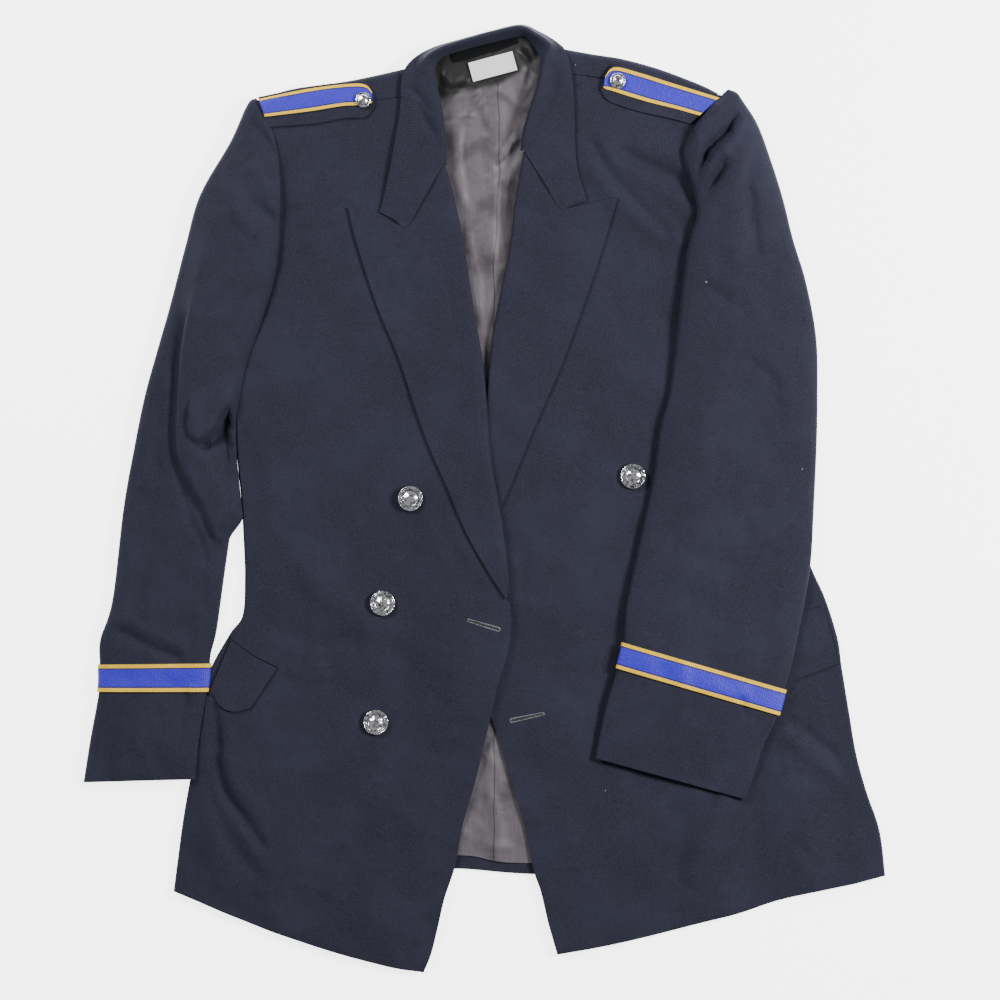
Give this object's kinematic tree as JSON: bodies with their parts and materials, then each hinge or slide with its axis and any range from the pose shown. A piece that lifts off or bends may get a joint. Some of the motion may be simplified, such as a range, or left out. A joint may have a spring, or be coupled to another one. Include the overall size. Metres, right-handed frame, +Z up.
{
  "type": "fire service dress jacket laid flat",
  "caption": "Double-breasted navy uniform dress jacket with peak lapels, shoulder straps and braided cuffs, laid flat on its back.",
  "frame": {"origin": "middle of the laid-out jacket, on the surface it lies on", "axes": "+Z up from the surface, out of the jacket's front; +Y towards the collar; +X towards the wearer's left side"},
  "size_m": [0.721, 0.8555, 0.0225],
  "materials": {
    "navy_wool": "matte wool twill",
    "grey_satin": "soft satin lining",
    "braid": "ribbed braid, blue between gold edges",
    "silver_metal": "polished silver-coloured metal",
    "woven_label": "dark woven label, bare",
    "cotton_tape": "white cotton tape, bare"
  },
  "bodies": {
    "root": {"back": "navy_wool", "side_right": "navy_wool", "side_left": "navy_wool", "front_right": "navy_wool", "front_left": "navy_wool", "lapel_right": "navy_wool", "lapel_left": "navy_wool", "collar": "navy_wool", "top_sleeve_right": "navy_wool", "top_sleeve_left": "navy_wool", "under_sleeve_right": "navy_wool", "under_sleeve_left": "navy_wool", "shoulder_strap_right": "navy_wool", "shoulder_strap_left": "navy_wool", "pocket_flap_right": "navy_wool", "pocket_flap_left": "navy_wool", "pocket_jet_right": "navy_wool", "pocket_jet_left": "navy_wool", "back_lining": "grey_satin", "strap_braid_right": "braid", "strap_braid_left": "braid", "cuff_braid_right": "braid", "cuff_braid_left": "braid", "button_right_1": "silver_metal", "button_right_2": "silver_metal", "button_right_3": "silver_metal", "button_left_1": "silver_metal", "strap_button_right": "silver_metal", "strap_button_left": "silver_metal", "neck_label": "woven_label", "tape_label": "cotton_tape"}
  },
  "joints": []
}
